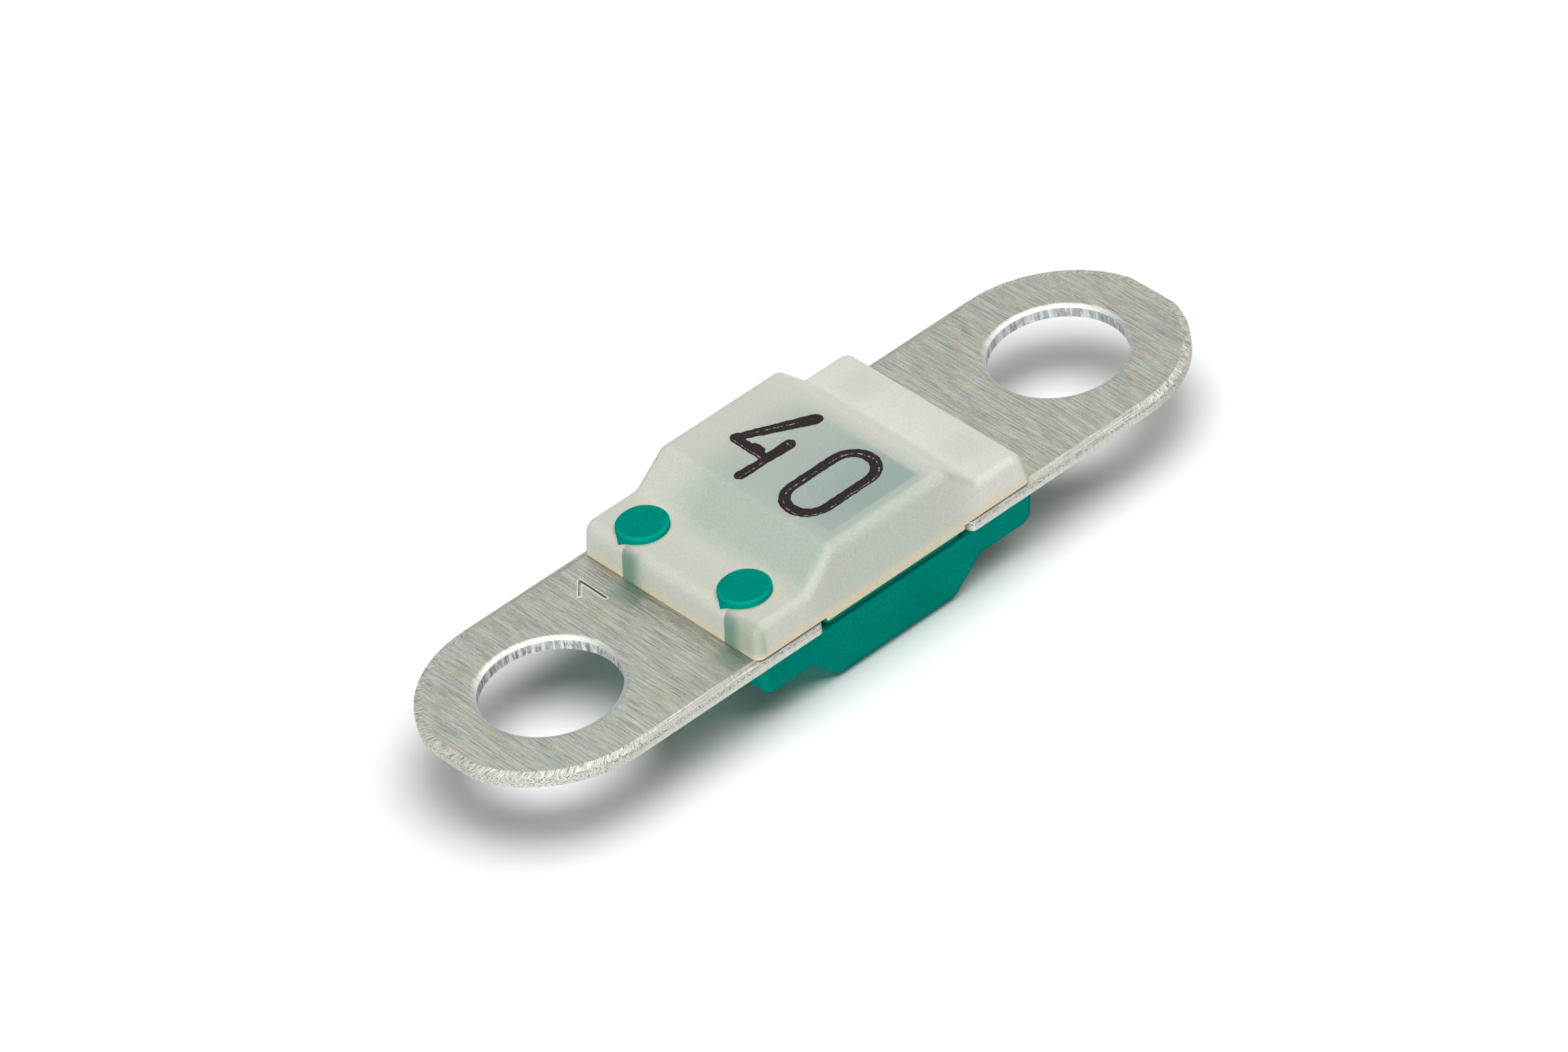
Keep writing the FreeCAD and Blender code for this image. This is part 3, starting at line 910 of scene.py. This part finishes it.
# %% [markdown]
# ## The printed number
#
# The rating is printed on the dome in a thick dark ink, with rounded strokes, slightly ragged
# rims, and a light line along each stroke where the ink is worn. Such a shape is easy to describe
# by distance: a point is inked if it lies nearer to the middle of a stroke than half its width.
# The worn lines are described in the same way, by the distance from a line of their own.

# %% Stroke shapes
def along_segment(point, start, end):
    """How far along a segment a point lies, how far to its side, and the segment's length."""
    run = end - start
    unit = run.normalized()
    offset = point - start
    return offset.dot(unit), unit.x * offset.y - unit.y * offset.x, run.length


def taper_distance(point, start, end, radius_start, radius_end):
    """Distance from a stroke with round ends whose half-width changes evenly."""
    along, _, length = along_segment(point, start, end)
    share = min(max(along / length, 0.0), 1.0)
    return (point - start.lerp(end, share)).length - (radius_start + (radius_end - radius_start) * share)


def round_box_distance(point, middle, half, corner):
    """Signed distance from a rectangle with rounded corners."""
    away = Vector((abs(point.x - middle.x) - half.x + corner, abs(point.y - middle.y) - half.y + corner))
    outside = hypot(max(away.x, 0), max(away.y, 0))
    return outside + min(max(away.x, away.y), 0) - corner


# Strokes of the 4: start, end, and the half-width at each
FOUR_STROKES = [
    (Vector((-0.56, 3.38)), Vector((-0.55, 3.2)), 0.31, 0.31),
    (Vector((-0.64, 3.3)), Vector((-0.7, 1.3)), 0.27, 0.24),
    (Vector((-0.48, 2.32)), Vector((-0.5, 1.85)), 0.22, 0.24),
    (Vector((-0.4, 3.3)), Vector((2.5, 1.6)), 0.25, 0.38),
    (Vector((-2.2, 1.22)), Vector((-1.0, 1.18)), 0.3, 0.25),
    (Vector((-1.0, 1.18)), Vector((0.58, 1.17)), 0.27, 0.34),
]
# Light worn lines of the 4
FOUR_WEAR = [
    (Vector((-0.78, 3.3)), Vector((-0.84, 1.5))),
    (Vector((0.1, 3.05)), Vector((2.1, 1.86))),
    (Vector((-2.3, 1.12)), Vector((-1.05, 1.1))),
    (Vector((0.58, 1.0)), Vector((0.6, 1.42))),
]
ZERO_MIDDLE, ZERO_HALF, ZERO_CORNER = Vector((-0.01, -2.31)), Vector((2.3, 1.15)), 1.12
ZERO_WEAR_MIDDLE, ZERO_WEAR_HALF, ZERO_WEAR_CORNER = Vector((-0.07, -2.43)), Vector((2.37, 1.19)), 1.1
ZERO_WIDTH, ZERO_RUN = 0.57, 2.2
PRINT_SHIFT = Vector((-0.13, -0.04))


def four_distance(point):
    """Signed distance from the outline of the 4."""
    return min(taper_distance(point, *stroke) for stroke in FOUR_STROKES)


def zero_distance(point):
    """Signed distance from the outline of the 0."""
    return abs(round_box_distance(point, ZERO_MIDDLE, ZERO_HALF, ZERO_CORNER)) - ZERO_WIDTH / 2


def four_wear(point):
    """Place along and beside the nearest worn line of the 4; past a line's end the side grows."""
    places = []
    for start, end in FOUR_WEAR:
        along, beside, length = along_segment(point, start, end)
        past = max(-along, along - length, 0.0)
        places.append((along, beside + past if beside > 0 else beside - past))
    return min(places, key=lambda place: abs(place[1]))


def zero_wear(point):
    """Place along and beside the worn line of the 0; it runs about 2.2 mm for each radian."""
    beside = round_box_distance(point, ZERO_WEAR_MIDDLE, ZERO_WEAR_HALF, ZERO_WEAR_CORNER)
    return atan2(point.y - ZERO_MIDDLE.y, point.x - ZERO_MIDDLE.x) * ZERO_RUN, beside


print("the middle of the 0 lies", round(zero_distance(ZERO_MIDDLE), 2), "mm from its ink")

# %% [markdown]
# A fine grid is laid over each digit, the cells outside the strokes are deleted, the rim is pulled
# onto the exact outline, and the sheet is given its thickness. A text object would be shorter, but
# its strokes would have the form of a font and not that of this print.

# %% Print a digit
CELL = 0.045
RAGGED, WAVES, FINER, FINER_SHARE, WAVE_LAYER = 0.035, 5.0, 3.1, 0.4, 0.3
SLOPE_STEP, LEAST_SLOPE, RIM_SMOOTH = CELL / 10, 0.3, 0.3


def ragged(distance):
    """A distance with a small uneven wave, as ink leaves at its rim."""
    def wavy(point):
        spot = Vector((point.x * WAVES, point.y * WAVES, WAVE_LAYER))
        wave = RAGGED * noise.noise(spot) + FINER_SHARE * RAGGED * noise.noise(spot * FINER)
        return distance(point) + wave
    return wavy


def digit_grid(low, high):
    """A fine flat grid between two corners."""
    shape = bmesh.new()
    size = Vector(high) - Vector(low)
    middle = (Vector(high) + Vector(low)) / 2
    bmesh.ops.create_grid(shape, x_segments=round(size.x / CELL), y_segments=round(size.y / CELL), size=0.5)
    bmesh.ops.scale(shape, vec=(size.x, size.y, 1), verts=shape.verts)
    bmesh.ops.translate(shape, vec=(middle.x, middle.y, 0), verts=shape.verts)
    return shape


def cut_to_outline(shape, outline):
    """Deletes the cells outside, and pulls the rim onto the outline against its slope."""
    outside = [face for face in shape.faces if outline(face.calc_center_median().xy) > 0]
    bmesh.ops.delete(shape, geom=outside, context="FACES")
    rim = [vert for vert in shape.verts if vert.is_boundary]
    for vert in rim:
        point = vert.co.xy
        here = outline(point)
        along_x = outline(point + Vector((SLOPE_STEP, 0))) - here
        along_y = outline(point + Vector((0, SLOPE_STEP))) - here
        slope = Vector((along_x, along_y)) / SLOPE_STEP
        if slope.length > LEAST_SLOPE:
            vert.co.xy -= slope.normalized() * max(min(here, CELL), -CELL)
    bmesh.ops.smooth_vert(shape, verts=rim, factor=RIM_SMOOTH, use_axis_x=True, use_axis_y=True)


def print_digit(name, distance, wear, low, high):
    """A thin raised sheet of ink inside the outline that the distance gives."""
    shape = digit_grid(low, high)
    cut_to_outline(shape, ragged(distance))
    bmesh.ops.recalc_face_normals(shape, faces=shape.faces)
    grown = bmesh.ops.extrude_face_region(shape, geom=shape.faces[:])["geom"]
    lower = [item for item in grown if isinstance(item, bmesh.types.BMVert)]
    bmesh.ops.translate(shape, vec=(0, 0, -INK_THICK), verts=lower)
    bmesh.ops.recalc_face_normals(shape, faces=shape.faces)
    uv = shape.loops.layers.uv.new("wear_line")
    for face in shape.faces:
        for loop in face.loops:
            loop[uv].uv = wear(loop.vert.co.xy)
    bmesh.ops.translate(shape, vec=(PRINT_SHIFT.x, PRINT_SHIFT.y, COVER_HIGH.z), verts=shape.verts)
    bmesh.ops.scale(shape, vec=(MM, MM, MM), verts=shape.verts)
    piece = object_from(name, shape)
    piece.data.materials.append(PRINTING_INK)
    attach(piece, "root")
    print(name, "has", len(piece.data.polygons), "faces")


# %% [markdown]
# The ink is nearly black and dull, with brown specks. The worn line is the light plastic below it
# coming through. It follows the UV map of the digit, wanders a little and breaks off in places.

# %% Ink
INK, INK_WORN, INK_SPECK = screen(33, 26, 24), screen(190, 184, 174), screen(92, 80, 74)
BREAKS, WANDER, SPECKS, INK_SWELL = (4.6, 4.6, 1.0), (1.6, 1.6, 1.0), (12.0, 12.0, 1.0), (4.0, 4.0, 1.0)
WANDER_WIDTH, LINE_WIDTH, LINE_SOFT = 0.16, (-0.012, 0.035), 0.012


def printing_ink():
    material, tree, shader, place = new_material("printing_ink")
    line = add_node(tree, "ShaderNodeUVMap", uv_map="wear_line").outputs["UV"]
    wander = calc(tree, "SUBTRACT", pattern(tree, place, WANDER), 0.5)
    beside = calc(tree, "ADD", split(tree, line)["Y"], times(tree, wander, WANDER_WIDTH))
    breaks = pattern(tree, place, BREAKS, detail=4.0, roughness=0.8)
    width = fade(tree, breaks, 0.44, 0.66, *LINE_WIDTH)
    worn = fade(tree, calc(tree, "SUBTRACT", calc(tree, "ABSOLUTE", beside), width), LINE_SOFT, 0.0)
    specks = fade(tree, pattern(tree, place, SPECKS, detail=3.0), 0.58, 0.7, 0.0, 0.8)
    colour = tint(tree, specks, INK, INK_SPECK)
    colour = tint(tree, worn, colour, INK_WORN)
    height = pattern(tree, place, INK_SWELL, detail=3.0)
    set_shader(tree, shader, Base_Color=colour, Roughness=0.5, Specular_IOR_Level=0.1,
               Normal=relief(tree, height, 0.02, 0.6))
    return material


PRINTING_INK = printing_ink()
print_digit("printed_4", four_distance, four_wear, (-2.75, 0.65), (3.15, 3.95))
print_digit("printed_0", zero_distance, zero_wear, (-2.85, -3.95), (2.85, -0.7))

# %% [markdown]
# ## Studio
#
# The fuse lies on a white table, and the picture's background is pure white. A table that is lit
# enough to be white would also throw too much light back onto the fuse. So it is made lighter only
# for rays that the camera sees, most of all away from the fuse, and stays grey for light that
# bounces. It lies a hair below the base, so that the two never share a plane.

# %% Table
TABLE_HALF, TABLE_GAP = 1.5, 0.005 * MM
NEAR_REACH, FAR_REACH = 23 * MM, 70 * MM
TABLE_NEAR, TABLE_FAR, TABLE_BOUNCE = (1.22, 1.24, 1.25, 1), (2.0, 2.0, 2.0, 1), (0.72, 0.72, 0.72, 1)


def seen_rays(tree):
    """1 for a ray that the camera sees, straight or in a mirror or glass, and 0 for a bounce."""
    path = add_node(tree, "ShaderNodeLightPath").outputs
    seen = calc(tree, "MAXIMUM", path["Is Camera Ray"], path["Is Glossy Ray"])
    return calc(tree, "MAXIMUM", seen, path["Is Transmission Ray"])


def white_table():
    material = bpy.data.materials.new("white_table")
    material.use_nodes = True
    tree = material.node_tree
    place = add_node(tree, "ShaderNodeTexCoord").outputs["Object"]
    away = add_node(tree, "ShaderNodeVectorMath", {0: place}, operation="LENGTH").outputs["Value"]
    clean = tint(tree, fade(tree, away, NEAR_REACH, FAR_REACH), TABLE_NEAR, TABLE_FAR)
    colour = tint(tree, seen_rays(tree), TABLE_BOUNCE, clean)
    diffuse = add_node(tree, "ShaderNodeBsdfDiffuse", {"Color": colour})
    tree.links.new(diffuse.outputs[0], tree.nodes["Material Output"].inputs["Surface"])
    return material


def make_table():
    shape = bmesh.new()
    bmesh.ops.create_grid(shape, x_segments=1, y_segments=1, size=TABLE_HALF)
    bmesh.ops.translate(shape, vec=(0, 0, -TABLE_GAP), verts=shape.verts)
    piece = object_from("studio_table", shape)
    piece.data.materials.append(white_table())


make_table()
print("the table is", 2 * TABLE_HALF, "m wide and lies", round(TABLE_GAP / MM, 3), "mm below the base")

# %% [markdown]
# A large soft lamp hangs almost straight above the fuse, so that its shadow lies close beneath it.
# It hardly reaches the upright sides. A wide, low and weak lamp at the front left lights those. It
# grazes the cover, where the staked heads would cast long streaks, so it casts no shadow.

# %% Lamps and world
WORLD_LIGHT = 0.02


def area_lamp(name, place, size, power, shadow=True):
    """A rectangular lamp in millimetres that faces the fuse."""
    light = bpy.data.lights.new(name, "AREA")
    light.shape, light.energy = "RECTANGLE", power
    light.size, light.size_y = size[0] * MM, size[1] * MM
    light.use_shadow = shadow
    lamp = add_object(name, light)
    lamp.location = Vector(place) * MM
    lamp.rotation_mode = "QUATERNION"
    lamp.rotation_quaternion = (-lamp.location).to_track_quat("-Z", "Y")


def white_world():
    """A background that looks white and lights the scene only a little."""
    world = bpy.data.worlds.new("studio_world")
    world.use_nodes = True
    tree = world.node_tree
    strength = calc(tree, "MULTIPLY_ADD", seen_rays(tree), 1 - WORLD_LIGHT, WORLD_LIGHT)
    background = tree.nodes["Background"]
    tree.links.new(strength, background.inputs["Strength"])
    background.inputs["Color"].default_value = (1, 1, 1, 1)
    return world


area_lamp("overhead_softbox", place=(50, -30, 430), size=(540, 540), power=2.3)
area_lamp("low_fill", place=(-390, -300, 14), size=(420, 26), power=1.6, shadow=False)
bpy.context.scene.world = white_world()
bpy.context.scene.view_settings.view_transform = "Standard"
